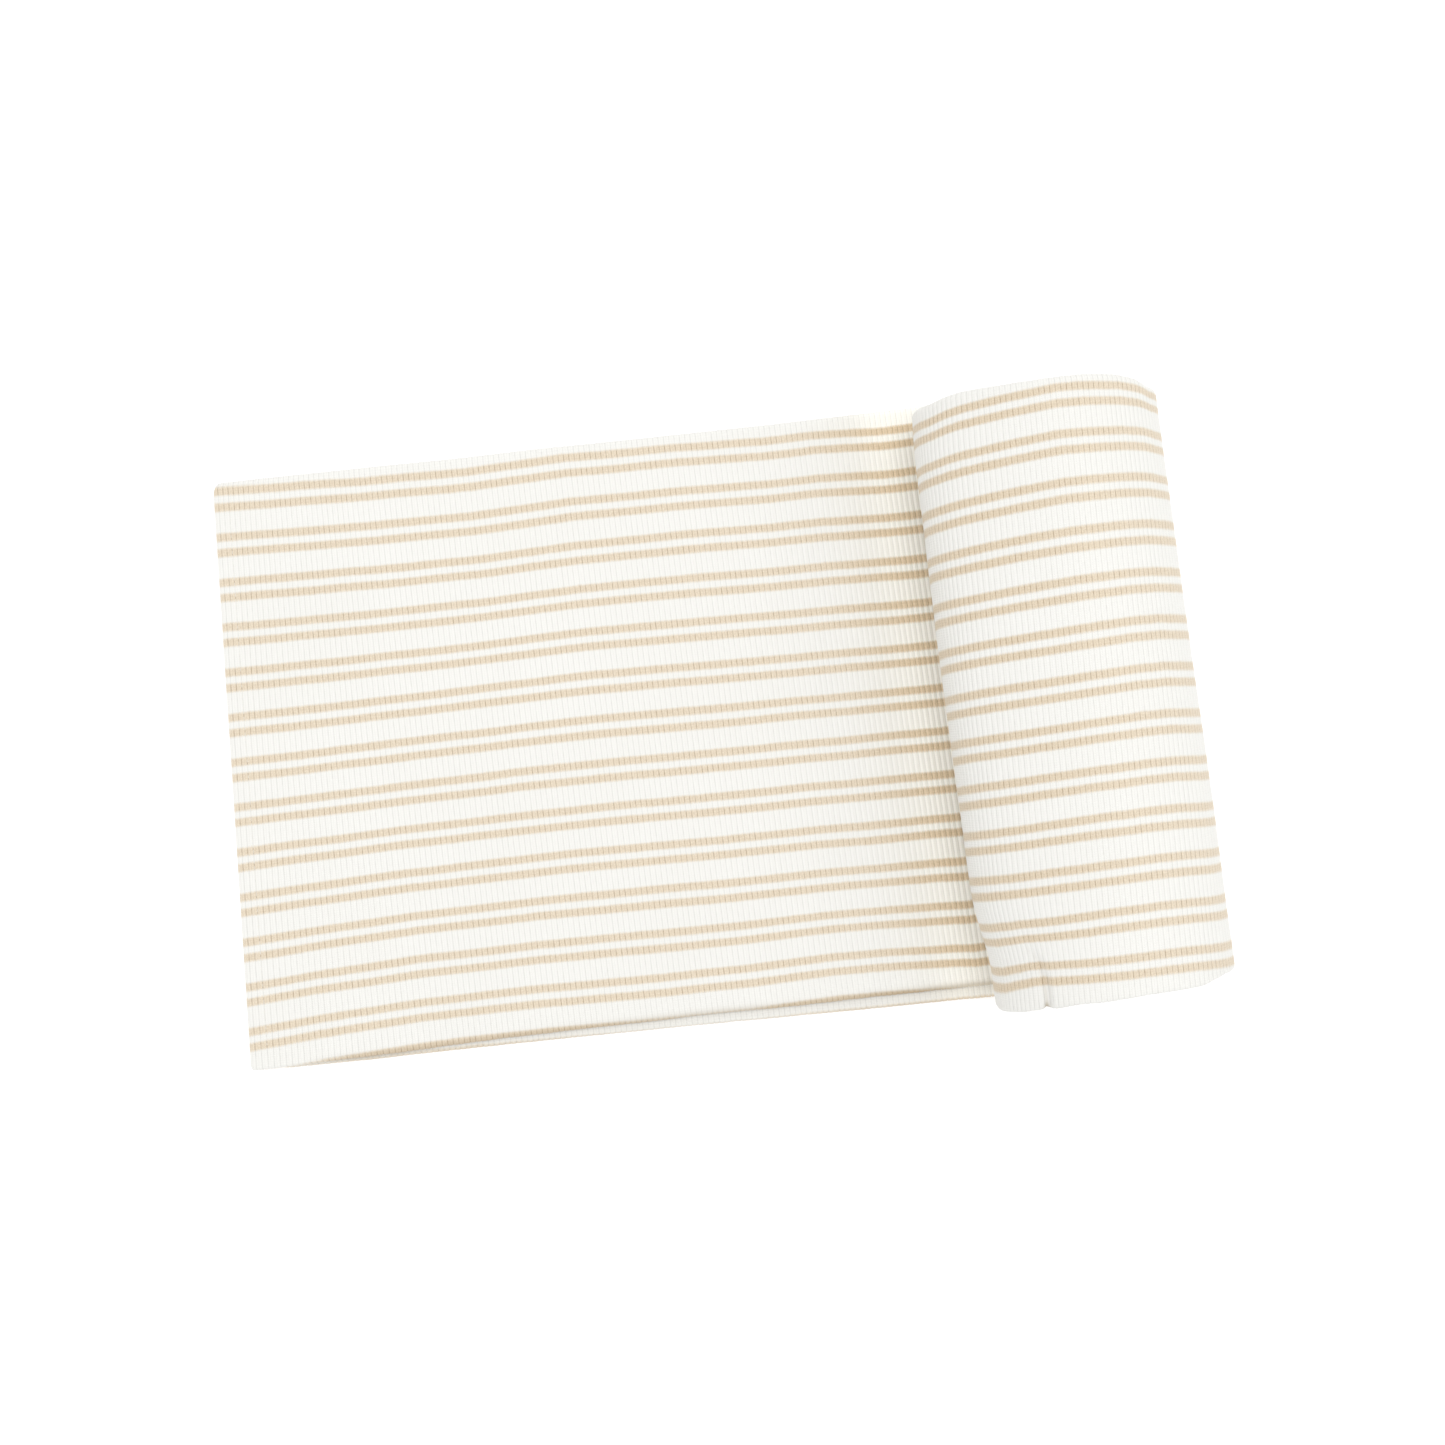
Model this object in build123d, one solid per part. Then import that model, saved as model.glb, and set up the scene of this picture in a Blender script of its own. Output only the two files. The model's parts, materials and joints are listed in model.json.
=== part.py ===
"""A square rib-knit baby wrap, folded to a strip of four plies and part rolled up.

The strip lies along X. Its free end, the tail, points to -X, and the roll lies on the strip at +X.
The fold is a gate fold, then a half fold: seen from above, the plies are the top panel, the top flap,
the bottom flap and the bottom panel. Both panels join at the far fold (+Y). Each flap joins its panel
at a near fold (-Y), and ends in a side hem just short of the far fold.
The origin is the middle of the whole part, on the surface it lies on.
"""
import math
import os

from build123d import *

# The cloth, in millimetres
CLOTH_SIDE = 1143.0
PLY = 1.5
PLY_GAP = 0.1
PLY_PITCH = PLY + PLY_GAP
STRIP_THICKNESS = 4 * PLY + 3 * PLY_GAP
STRIP_WIDTH = CLOTH_SIDE / 4
FLAP_SHORT_OF_FOLD = 1.2

# The strip as it lies
TOTAL_LENGTH = 471.0
TAIL_END_SKEW = 13.0
UPPER_FOLD_BACK = 5.0

# The roll
ROLL_WIDTH = 112.0
ROLL_TOP = 76.0
ROLL_SKEW = 5.5
ROLL_SHIFT = 3.0
TURN_SPACE_SIDE = 4.6
TURN_SPACE_TOP = 2.6
TURN_SPACE_BOTTOM = 1.2
UPPER_ROUNDNESS = 2.15
LOWER_ROUNDNESS = 2.8
STEPS_PER_TURN = 24

# The tail bends at three lines across the strip
HINGE_X = [110.0, -4.0, -119.0]
HINGE_CLEARANCE = 0.3

# Hem threads and the care label
HEM_DEPTH = 9.0
HEM_THREAD_SHORT = 12.0
THREAD = 0.5
THREAD_DEPTH = 0.3
LABEL_LENGTH = 38.0
LABEL_WIDTH = 22.0
LABEL_THICKNESS = 0.35
LABEL_X = -160.0
LABEL_FROM_EDGE = 2.0

# Where each ply starts, upwards from the surface
PLIES = ["bottom_panel", "bottom_flap", "top_flap", "top_panel"]
STRIP_Z = {ply: index * PLY_PITCH for index, ply in enumerate(PLIES)}
PAIR_THICKNESS = PLY + PLY_PITCH

# Edges: the strip and the roll are as wide, and the roll lies a little nearer
FAR_Y = (STRIP_WIDTH + ROLL_SHIFT) / 2
NEAR_Y = FAR_Y - STRIP_WIDTH
MIDDLE_Y = (FAR_Y + NEAR_Y) / 2
FLAP_FAR_Y = FAR_Y - STRIP_THICKNESS / 2 - FLAP_SHORT_OF_FOLD
FAR_X = TOTAL_LENGTH / 2
TAIL_END_X = -FAR_X + TAIL_END_SKEW / 2
ROLL_MIDDLE_X = FAR_X - ROLL_WIDTH / 2 - ROLL_SKEW / 2


def roll_point(turn):
    """Middle of the strip in the roll, after so many turns from the seam under the roll's middle."""
    half = STRIP_THICKNESS / 2
    bottom = half + (STRIP_THICKNESS + TURN_SPACE_BOTTOM) * turn
    right = ROLL_WIDTH / 2 - half - (STRIP_THICKNESS + TURN_SPACE_SIDE) * (turn - 0.25)
    top = ROLL_TOP - half - (STRIP_THICKNESS + TURN_SPACE_TOP) * (turn - 0.5)
    left = -ROLL_WIDTH / 2 + half + (STRIP_THICKNESS + TURN_SPACE_SIDE) * (turn - 0.75)
    half_width = (right - left) / 2
    half_height = (top - bottom) / 2
    across = math.sin(2 * math.pi * turn)
    down = math.cos(2 * math.pi * turn)
    roundness = LOWER_ROUNDNESS if down > 0 else UPPER_ROUNDNESS
    power_sum = abs(across / half_width) ** roundness + abs(down / half_height) ** roundness
    reach = power_sum ** (-1 / roundness)
    return (right + left) / 2 + reach * across, (top + bottom) / 2 - reach * down


def roll_direction(turn):
    """Unit vector along the strip at this place in the roll. It lies flat at the seam."""
    if turn == 0:
        return 1.0, 0.0
    step = 0.001
    x0, z0 = roll_point(turn - step)
    x1, z1 = roll_point(turn + step)
    length = math.hypot(x1 - x0, z1 - z0)
    return (x1 - x0) / length, (z1 - z0) / length


def offset_point(turn, offset):
    """A point of the roll's section, offset from the strip's middle towards the inside of the roll."""
    x, z = roll_point(turn)
    along_x, along_z = roll_direction(turn)
    return ROLL_MIDDLE_X + x - along_z * offset, z + along_x * offset


def turns_for_length(length):
    """How many turns take up this much strip."""
    step = 1 / 720
    turn, used = 0.0, 0.0
    x, z = roll_point(0)
    while used < length:
        turn += step
        next_x, next_z = roll_point(turn)
        used += math.hypot(next_x - x, next_z - z)
        x, z = next_x, next_z
    return turn


# Where the flat strip becomes the roll, under the roll's middle
SEAM_X = offset_point(0, 0)[0]
FLAT_LENGTH = SEAM_X - TAIL_END_X


def near_fold(panel_y, middle_z):
    """Half ring that joins a panel and its flap along the near edge."""
    outer = PAIR_THICKNESS / 2
    ring = Circle(outer) - Circle(PLY_GAP / 2)
    half = Pos(-outer, 0) * Rectangle(2 * outer, 2 * outer)
    return Pos(panel_y + outer, middle_z) * (ring & half)


def far_fold():
    """Half ring that joins the two panels along the far edge."""
    outer = STRIP_THICKNESS / 2
    ring = Circle(outer) - Circle(outer - PLY)
    half = Pos(outer, 0) * Rectangle(2 * outer, 2 * outer)
    return Pos(FAR_Y - outer, outer) * (ring & half)


def ply_rectangle(near_y, far_y, low_z):
    """Section of a flat ply."""
    middle = Pos((near_y + far_y) / 2, low_z + PLY / 2)
    return middle * Rectangle(far_y - near_y, PLY)


def upper_near_y(x):
    """Near edge of the upper fold, which lies further back towards the roll."""
    share = (x - TAIL_END_X) / (HINGE_X[0] - TAIL_END_X)
    return NEAR_Y + UPPER_FOLD_BACK * min(max(share, 0.0), 1.0)


def flat_section(ply, x):
    """Section of one ply across the strip, at this X."""
    is_top = ply.startswith("top")
    near_y = upper_near_y(x) if is_top else NEAR_Y
    inset = PAIR_THICKNESS / 2
    low_z = STRIP_Z[ply]
    if ply.endswith("flap"):
        return ply_rectangle(near_y + inset, FLAP_FAR_Y, low_z)
    far_y = FAR_Y - STRIP_THICKNESS / 2
    plate = ply_rectangle(near_y + inset, far_y, low_z)
    pair_middle = (STRIP_THICKNESS - inset) if is_top else inset
    section = plate + near_fold(near_y, pair_middle)
    if not is_top:
        section = section + far_fold()
    return section


def flat_ply(ply, low_x, high_x):
    """One ply of a flat stretch of the strip."""
    faces = [Plane.YZ.offset(x) * flat_section(ply, x) for x in (low_x, high_x)]
    if ply.startswith("bottom") or upper_near_y(low_x) == upper_near_y(high_x):
        return extrude(faces[0], amount=high_x - low_x)
    return loft(faces, ruled=True)


def skewed(x, y, skew):
    """Place turned so that its Y reaches this much further in X from the near to the far edge."""
    angle = math.degrees(math.atan2(skew, STRIP_WIDTH))
    return Pos(x, y, 0) * Rot(0, 0, -angle)


def skew_cutter(x, y, skew):
    """A large block whose +X side crosses the strip through this place, askew."""
    size = 600.0
    return skewed(x, y, skew) * Pos(-size / 2, 0, 0) * Box(size, size, size)


def roll_band(outer, near_y, far_y, first_turn, last_turn):
    """A band one ply thick that winds with the strip, between two places along Y."""
    steps = max(1, round(STEPS_PER_TURN * (last_turn - first_turn)))
    places = [first_turn + (last_turn - first_turn) * step / steps for step in range(steps + 1)]
    outside = [Vector(*offset_point(place, outer)) for place in places]
    inside = [Vector(*offset_point(place, outer + PLY)) for place in reversed(places)]
    ends = [Line(outside[-1], inside[0]), Line(inside[-1], outside[0])]
    plane = Plane(origin=(0, near_y, 0), x_dir=(1, 0, 0), z_dir=(0, -1, 0))
    face = plane * make_face([Spline(*outside), ends[0], Spline(*inside), ends[1]])
    lean = -ROLL_SKEW / STRIP_WIDTH
    length = far_y - near_y
    band = extrude(face, amount=length * math.hypot(1, lean), dir=(lean, 1, 0))
    return Pos(lean * (near_y + MIDDLE_Y), 0, 0) * band


def ply_offset(ply):
    """Outer side of a ply in the roll, measured from the strip's middle towards the inside."""
    return STRIP_Z[ply] - STRIP_THICKNESS / 2


def roll_ply(ply, turns):
    """One ply of the roll. The bottom panel is the outermost."""
    near_y, far_y = -FAR_Y, -NEAR_Y
    if ply.endswith("flap"):
        near_y += PAIR_THICKNESS / 2
        far_y -= STRIP_THICKNESS / 2 + FLAP_SHORT_OF_FOLD
    return roll_band(ply_offset(ply), near_y, far_y, 0.0, turns)


def roll_side_threads(turns):
    """Thread round the side hems of both flaps, in the roll."""
    near_y = FLAP_FAR_Y - ROLL_SHIFT
    flaps = [ply for ply in PLIES if ply.endswith("flap")]
    return [roll_band(ply_offset(ply), near_y, near_y + THREAD, 0.0, turns) for ply in flaps]


def inner_end_threads(turns):
    """Thread round the hem of each ply at the inner end of the roll."""
    past_end = turns_for_length(CLOTH_SIDE - FLAT_LENGTH + THREAD)
    near_y = -FAR_Y + HEM_THREAD_SHORT
    far_y = -NEAR_Y - HEM_THREAD_SHORT
    return [roll_band(ply_offset(ply), near_y, far_y, turns, past_end) for ply in PLIES]


def flat_side_threads(low_x, high_x):
    """Thread round the side hems of both flaps, in a flat stretch."""
    middle_x = (low_x + high_x) / 2
    bars = []
    for ply in ("bottom_flap", "top_flap"):
        place = Pos(middle_x, FLAP_FAR_Y + THREAD / 2, STRIP_Z[ply] + PLY / 2)
        bars.append(place * Box(high_x - low_x, THREAD, PLY))
    return bars


def tail_end_thread(ply):
    """Thread of the tail's hem, sunk in the face of the ply that shows when the wrap is open."""
    faces_up = ply in ("bottom_flap", "top_panel")
    low_z = STRIP_Z[ply] + (PLY - THREAD_DEPTH if faces_up else 0.0)
    bar = Box(THREAD, STRIP_WIDTH - 2 * HEM_THREAD_SHORT, THREAD_DEPTH)
    place = skewed(TAIL_END_X + HEM_DEPTH, MIDDLE_Y, TAIL_END_SKEW)
    return place * Pos(0, 0, low_z + THREAD_DEPTH / 2) * bar


def care_label():
    """The label, sunk in the top flap beside its side hem."""
    top_z = STRIP_Z["top_flap"] + PLY
    middle_y = FLAP_FAR_Y - LABEL_FROM_EDGE - LABEL_WIDTH / 2
    place = Pos(LABEL_X, middle_y, top_z - LABEL_THICKNESS / 2)
    return place * Box(LABEL_LENGTH, LABEL_WIDTH, LABEL_THICKNESS)


def save(shape, name):
    """Write one node's STEP file."""
    shape.label = name
    export_step(shape, f"parts/{name}.step")


def save_flat_stretch(stretch, low_x, high_x, trim):
    """Write the plies and the side hem threads of a flat stretch, each trimmed at its skewed end."""
    for ply in PLIES:
        solid = trim(flat_ply(ply, low_x, high_x))
        if stretch == "tail_end":
            solid = solid - tail_end_thread(ply)
        if (stretch, ply) == ("tail_end", "top_flap"):
            solid = solid - care_label()
        save(solid, f"{stretch}_{ply}")
    threads = [trim(bar) for bar in flat_side_threads(low_x, high_x)]
    save(Compound(threads), f"{stretch}_side_hem_thread")


def build():
    """Make every node and write it."""
    os.makedirs("parts", exist_ok=True)
    turns = turns_for_length(CLOTH_SIDE - FLAT_LENGTH)
    gap = HINGE_CLEARANCE / 2
    roll_side = skew_cutter(SEAM_X, -MIDDLE_Y, -ROLL_SKEW)
    past_tail = skew_cutter(TAIL_END_X, MIDDLE_Y, TAIL_END_SKEW)
    save_flat_stretch("base", HINGE_X[0] + gap, SEAM_X + ROLL_SKEW, lambda solid: solid & roll_side)
    save_flat_stretch("tail_root", HINGE_X[1] + gap, HINGE_X[0] - gap, lambda solid: solid)
    save_flat_stretch("tail_middle", HINGE_X[2] + gap, HINGE_X[1] - gap, lambda solid: solid)
    save_flat_stretch("tail_end", -FAR_X - TAIL_END_SKEW, HINGE_X[2] - gap, lambda solid: solid - past_tail)
    save(Compound([tail_end_thread(ply) for ply in PLIES]), "tail_end_hem_thread")
    save(care_label(), "care_label")
    for ply in PLIES:
        save(roll_ply(ply, turns), f"roll_{ply}")
    save(Compound(roll_side_threads(turns)), "roll_side_hem_thread")
    save(Compound(inner_end_threads(turns)), "inner_end_hem_thread")
    print(f"turns in the roll {turns:.3f}")


build()
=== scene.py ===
"""Striped rib-knit baby wrap, folded lengthwise to four plies and part rolled. Metres, in the CAD frame."""
import json
import math

import bpy
import numpy as np
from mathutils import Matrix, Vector


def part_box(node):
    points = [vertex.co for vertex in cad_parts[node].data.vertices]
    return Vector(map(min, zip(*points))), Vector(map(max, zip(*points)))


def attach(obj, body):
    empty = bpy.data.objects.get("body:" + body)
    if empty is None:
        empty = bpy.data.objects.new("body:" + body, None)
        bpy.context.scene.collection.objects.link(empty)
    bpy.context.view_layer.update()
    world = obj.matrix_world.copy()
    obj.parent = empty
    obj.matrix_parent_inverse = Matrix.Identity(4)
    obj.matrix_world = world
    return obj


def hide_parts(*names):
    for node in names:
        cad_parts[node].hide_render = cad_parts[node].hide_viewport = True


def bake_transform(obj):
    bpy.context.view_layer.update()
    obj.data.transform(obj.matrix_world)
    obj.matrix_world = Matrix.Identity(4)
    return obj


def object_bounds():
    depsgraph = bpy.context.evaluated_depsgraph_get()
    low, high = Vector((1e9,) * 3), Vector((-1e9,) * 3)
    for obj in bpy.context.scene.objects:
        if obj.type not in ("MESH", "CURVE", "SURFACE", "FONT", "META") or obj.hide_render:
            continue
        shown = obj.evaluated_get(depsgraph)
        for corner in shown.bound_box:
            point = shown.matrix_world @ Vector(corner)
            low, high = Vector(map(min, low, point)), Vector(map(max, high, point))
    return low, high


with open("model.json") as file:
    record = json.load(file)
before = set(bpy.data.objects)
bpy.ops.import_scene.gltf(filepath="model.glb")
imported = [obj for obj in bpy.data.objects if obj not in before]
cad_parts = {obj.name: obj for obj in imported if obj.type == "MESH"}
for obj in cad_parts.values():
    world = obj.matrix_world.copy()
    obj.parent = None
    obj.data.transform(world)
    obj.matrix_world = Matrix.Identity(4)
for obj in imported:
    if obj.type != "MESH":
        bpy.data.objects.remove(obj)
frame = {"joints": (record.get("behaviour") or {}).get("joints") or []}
cad_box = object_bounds()

MM = 0.001

# The cloth and the strip, as in the CAD. PITCH_H is the height from ply to ply
CLOTH = 1143 * MM
THICK = 6.3 * MM
HALF = THICK / 2
PITCH_H = 1.6 * MM
FLAP_SHORT = 1.4 * MM
FAR_CORNER = 3.6 * MM
NEAR_CORNER = 1.6 * MM

# The ribs' half thickness at the crown, and how much less it is in a groove
HALF_PLY = 0.74 * MM
GROOVE = 0.32 * MM

# The stripes, in millimetres: from one pair to the next, and from a pair's middle to the middle of a stripe
PAIR_PITCH = 21.4
STRIPE_HALF_GAP = 3.65
STRIPE_HALF_WIDTH = 1.96
STRIPE_SOFT_EDGE = 0.85
STITCH_HEIGHT = 1.12

strip_low, strip_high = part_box("tail_middle_bottom_panel")
roll_low, roll_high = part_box("roll_bottom_panel")
NEAR_Y = strip_low.y
FAR_Y = strip_high.y
ROLL_NEAR_Y = roll_low.y
ROLL_FAR_Y = roll_high.y
MIDDLE_Y = (NEAR_Y + FAR_Y) / 2
FAR_X = cad_box[1].x
TAIL_SKEW = 13 * MM
TAIL_END_X = cad_box[0].x + TAIL_SKEW / 2
HINGES = [joint["pos_m"][0] for joint in frame["joints"]]

# The roll's spiral, as in the CAD
ROLL_WIDTH = 112 * MM
ROLL_TOP = 76 * MM
ROLL_SKEW = 5.5 * MM
SIDE_SPACE = 4.6 * MM
TOP_SPACE = 2.6 * MM
BOTTOM_SPACE = 1.2 * MM
ROLL_MIDDLE_X = FAR_X - ROLL_WIDTH / 2 - ROLL_SKEW / 2
ROLL_LEAN = -ROLL_SKEW / (FAR_Y - NEAR_Y)


def smooth(value, low, high):
    """Smoothstep from 0 at low to 1 at high."""
    share = np.clip((value - low) / (high - low), 0.0, 1.0)
    return share * share * (3 - 2 * share)


def waves(a, b, seed, shortest, longest, count=7):
    """Smooth, repeatable unevenness over two coordinates, about -1 to 1."""
    chance = np.random.default_rng(seed)
    total = 0.0
    for _ in range(count):
        length = chance.uniform(shortest, longest)
        angle = chance.uniform(0, math.pi)
        phase = chance.uniform(0, 2 * math.pi)
        total = total + np.sin(2 * math.pi * (a * math.cos(angle) + b * math.sin(angle)) / length + phase)
    return total / math.sqrt(2 * count)


def roll_point(turn):
    """Middle of the strip in the roll, from the roll's middle."""
    bottom = HALF + (THICK + BOTTOM_SPACE) * turn
    right = ROLL_WIDTH / 2 - HALF - (THICK + SIDE_SPACE) * (turn - 0.25)
    top = ROLL_TOP - HALF - (THICK + TOP_SPACE) * (turn - 0.5)
    left = -ROLL_WIDTH / 2 + HALF + (THICK + SIDE_SPACE) * (turn - 0.75)
    across = np.sin(2 * math.pi * turn)
    down = np.cos(2 * math.pi * turn)
    roundness = np.where(down > 0, 2.8, 2.15)
    half_width, half_height = (right - left) / 2, (top - bottom) / 2
    power_sum = np.abs(across / half_width) ** roundness + np.abs(down / half_height) ** roundness
    reach = power_sum ** (-1 / roundness)
    return (right + left) / 2 + reach * across, (top + bottom) / 2 - reach * down


def middle_line():
    """Tables along the strip's middle line: length, X, Z and the unit direction."""
    turns = np.linspace(0, 4.2, 12001)
    roll_x, roll_z = roll_point(turns)
    seam_x = ROLL_MIDDLE_X + roll_x[0]
    flat = seam_x - TAIL_END_X
    steps = np.hypot(np.diff(roll_x), np.diff(roll_z))
    lengths = flat + np.concatenate([[0], np.cumsum(steps)])
    along = np.arange(-0.01, CLOTH + 0.01, 0.25 * MM)
    x = np.where(along < flat, TAIL_END_X + along, np.interp(along, lengths, ROLL_MIDDLE_X + roll_x))
    z = np.where(along < flat, HALF, np.interp(along, lengths, roll_z))
    turn = np.interp(along, lengths, turns)
    window = np.ones(9) / 9
    dx = np.convolve(np.pad(np.gradient(x), 4, mode="edge"), window, mode="valid")
    dz = np.convolve(np.pad(np.gradient(z), 4, mode="edge"), window, mode="valid")
    size = np.hypot(dx, dz)
    return flat, along, x, z, dx / size, dz / size, turn


FLAT, LINE, LINE_X, LINE_Z, LINE_DX, LINE_DZ, LINE_TURN = middle_line()


def rib_places():
    """Where each rib begins along the strip. The knit is stretched more at the tail's free end."""
    places = [0.0]
    along = [0, 0.06, 0.18, 0.29, 0.50, 0.54, 0.556, 0.582, 0.62, 0.68, CLOTH]
    pitch = [2.72, 2.71, 2.64, 2.62, 2.55, 2.50, 2.42, 2.17, 2.17, 2.50, 2.60]
    while places[-1] < CLOTH:
        places.append(places[-1] + np.interp(places[-1], along, pitch) * MM)
    return np.array(places) * CLOTH / places[-1]


RIB_PLACES = rib_places()
RIBS = len(RIB_PLACES) - 1


def rib_at(number):
    """Place along the strip of a rib, or of a part of one."""
    return np.interp(number, np.arange(RIBS + 1), RIB_PLACES)


def rib_lean(u):
    """How far a rib runs along the strip for each metre across it, besides the roll's own lean."""
    along = [0, 0.08, 0.20, 0.32, 0.345, 0.46, CLOTH]
    return np.interp(u, along, [0.0455, -0.005, -0.020, -0.032, -0.035, -0.026, -0.026])


# The pinch in the roll's near end, and the crease that runs up the roll from it
PINCH_X = 0.1429
PINCH_PATH = [(PINCH_X, -0.1440), (0.1427, -0.1312), (0.1414, -0.1219), (0.1383, -0.1172), (0.1339, -0.1135)]


def outer_part(turn):
    """1 on the part of the roll's outer turn that the pinch is in, and 0 elsewhere."""
    return smooth(turn, 0.42, 0.50) * (1 - smooth(turn, 0.70, 0.77))


def distance_to_path(x, y, path):
    """Distance to a run of straight pieces, and how far along it the nearest point is, 0 to 1."""
    best = np.full(np.shape(x), 1e9)
    share = np.zeros(np.shape(x))
    for index in range(len(path) - 1):
        (x0, y0), (x1, y1) = path[index], path[index + 1]
        dx, dy = x1 - x0, y1 - y0
        t = np.clip(((x - x0) * dx + (y - y0) * dy) / (dx * dx + dy * dy), 0, 1)
        far = np.hypot(x - x0 - t * dx, y - y0 - t * dy)
        nearer = far < best
        best = np.where(nearer, far, best)
        share = np.where(nearer, (index + t) / (len(path) - 1), share)
    return best, share


def place(u, y, h):
    """A point of the folded strip: u along it, y across it, h up from its middle (in the roll, inwards)."""
    u = u + rib_lean(u) * (y - MIDDLE_Y)
    x = np.interp(u, LINE, LINE_X)
    z = np.interp(u, LINE, LINE_Z)
    dx = np.interp(u, LINE, LINE_DX)
    dz = np.interp(u, LINE, LINE_DZ)
    lean = ROLL_LEAN * smooth(u, HINGES[0] - TAIL_END_X, FLAT)
    # Flat stretch: the plies lie a little unevenly, more so towards the top
    flat_share = 1 - smooth(u, FLAT - 0.05, FLAT)
    uneven = 0.32 * MM * waves(u, y, 3, 0.05, 0.16) + 0.12 * MM * waves(u, y, 4, 0.015, 0.04)
    h = h + flat_share * uneven * np.clip((h + HALF) / THICK, 0, 1.1)
    # Roll: soft lumps, which every ply of a turn shares
    turn = np.interp(u, LINE, LINE_TURN)
    roll_share = smooth(turn, 0.10, 0.30)
    lumps = 0.55 * MM * waves(u, y * 0.6, 11, 0.09, 0.22) + 0.10 * MM * waves(u, y, 12, 0.02, 0.05)
    h = h + roll_share * lumps
    px = x - dz * h + lean * (y + MIDDLE_Y)
    pz = z + dx * h
    # The roll bulges over the tail on its left, and draws in towards its far end on the right
    sideways = (px - ROLL_MIDDLE_X - lean * (y + MIDDLE_Y)) / (ROLL_WIDTH / 2)
    bulge = 4.8 * MM * smooth(y, -0.131, -0.088) * (1 - 0.3 * smooth(y, 0.110, 0.142))
    drawn_in = 2.3 * MM * smooth(y, -0.075, 0.045)
    px = px - roll_share * (bulge * smooth(-sideways, 0.2, 1.0) + drawn_in * smooth(sideways, 0.2, 1.0))
    # The pinch in the roll's near end
    far, share = distance_to_path(px, y, PINCH_PATH)
    groove = outer_part(turn) * np.exp(-(far / (1.9 * MM)) ** 2) * (1 - share) ** 0.8
    depth = 3.0 * MM * groove
    px = px - dz * depth
    pz = pz + dx * depth
    return px, y, pz


def table(value, places, sizes):
    """A size in millimetres at each place, between the places given, in metres."""
    return np.interp(value, places, sizes) * MM


def far_reference(u):
    """Y of the far fold if it ran quite straight. The stripes keep to this line."""
    return FAR_Y + (ROLL_FAR_Y - FAR_Y) * smooth(u, FLAT - 0.045, FLAT + 0.015)


def corner(u, radius):
    """How far an edge draws in at the rounded corner of the tail's end."""
    inside = np.clip(1 - u / radius, 0, 1)
    return radius * (1 - np.sqrt(np.clip(1 - inside ** 2, 0, 1)))


# How far the outer turn's two edges draw in at the roll's ends, in millimetres, by the part of the turn
TURN_PART = [0, 0.1, 0.2, 0.25, 0.3, 0.325, 0.36, 0.395, 0.43, 0.5, 0.55, 0.65, 0.67, 0.70, 0.75, 0.9, 1.0]
FAR_BACK = [2.0, 3.0, 6.0, 7.8, 7.2, 4.4, 2.5, 1.8, 1.3, 1.3, 1.5, 1.9, 2.6, 4.4, 4.4, 3.0, 2.0]
NEAR_PART = [
    0, 0.1, 0.2, 0.25, 0.31, 0.33, 0.345, 0.36, 0.45, 0.5,
    0.55, 0.59, 0.625, 0.67, 0.685, 0.73, 0.8, 0.9, 1.0,
]
NEAR_BACK = [2.0, 3.0, 6.0, 7.5, 7.3, 6.5, 5.4, 4.8, 4.6, 3.8, 3.2, 3.2, 2.0, 1.0, 0.2, -0.6, 0, 1.2, 2.0]
# How far the rib's lean carries the roll's ends along the strip
LEAN_SHIFT = 3.7 * MM


def edges(u):
    """Y of the far fold, the lower near fold and the upper near fold at each place along the strip."""
    in_roll = smooth(u, FLAT, FLAT + 0.05)
    far_wander = table(u, [0, 0.03, 0.07, 0.14, 0.21, 0.25, 0.35, 0.39],
                       [1.2, 1.2, 0.8, 0.4, 0.2, -0.2, 0.4, 0])
    far = far_reference(u) + far_wander
    low = NEAR_Y - table(u, [0, 0.017, 0.066, 0.115, 0.164, 0.213, 0.263, 0.302, 0.350, 0.39, FLAT],
                         [-0.4, 0.5, 0.9, 1.0, 1.5, 2.0, 2.8, 3.3, 3.9, 3.4, 3.0])
    gap = table(u, [0, 0.017, 0.076, 0.115, 0.164, 0.243, 0.302, 0.352],
                [0, 1.2, 2.7, 3.9, 4.4, 5.0, 6.1, 6.4])
    up = low + gap * (1 - in_roll) + 1.6 * MM * in_roll
    # The roll's ends: the outer turn draws in on its right side, and the turns inside don't quite line up
    far_turn = np.interp(u - LEAN_SHIFT, LINE, LINE_TURN)
    near_turn = np.interp(u + LEAN_SHIFT, LINE, LINE_TURN)
    inside = smooth(far_turn, 0.9, 1.2)
    far_back = np.interp(far_turn % 1, TURN_PART, FAR_BACK)
    near_back = np.interp(near_turn % 1, NEAR_PART, NEAR_BACK)
    level = 0 * u
    far_inside = 2.4 + 0.5 * far_back + 1.0 * waves(u, level, 25, 0.08, 0.25)
    near_inside = 2.4 + 0.5 * near_back + 1.1 * waves(u, level, 24, 0.08, 0.25)
    far_back = far_back * (1 - inside) + inside * far_inside
    near_back = near_back * (1 - inside) + inside * near_inside
    far = far - in_roll * far_back * MM
    low = low + in_roll * near_back * MM
    up = up + in_roll * near_back * MM
    # Folds wander a little
    far = far + 0.25 * MM * waves(u, level, 21, 0.03, 0.12)
    low = low + 0.20 * MM * waves(u, level, 22, 0.03, 0.12) + 0.08 * MM * waves(u, level, 32, 0.006, 0.014)
    up = up + 0.30 * MM * waves(u, level, 23, 0.03, 0.12) + 0.10 * MM * waves(u, level, 33, 0.006, 0.014)
    return far - corner(u, FAR_CORNER), low + corner(u, NEAR_CORNER), up + corner(u, NEAR_CORNER)


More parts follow.
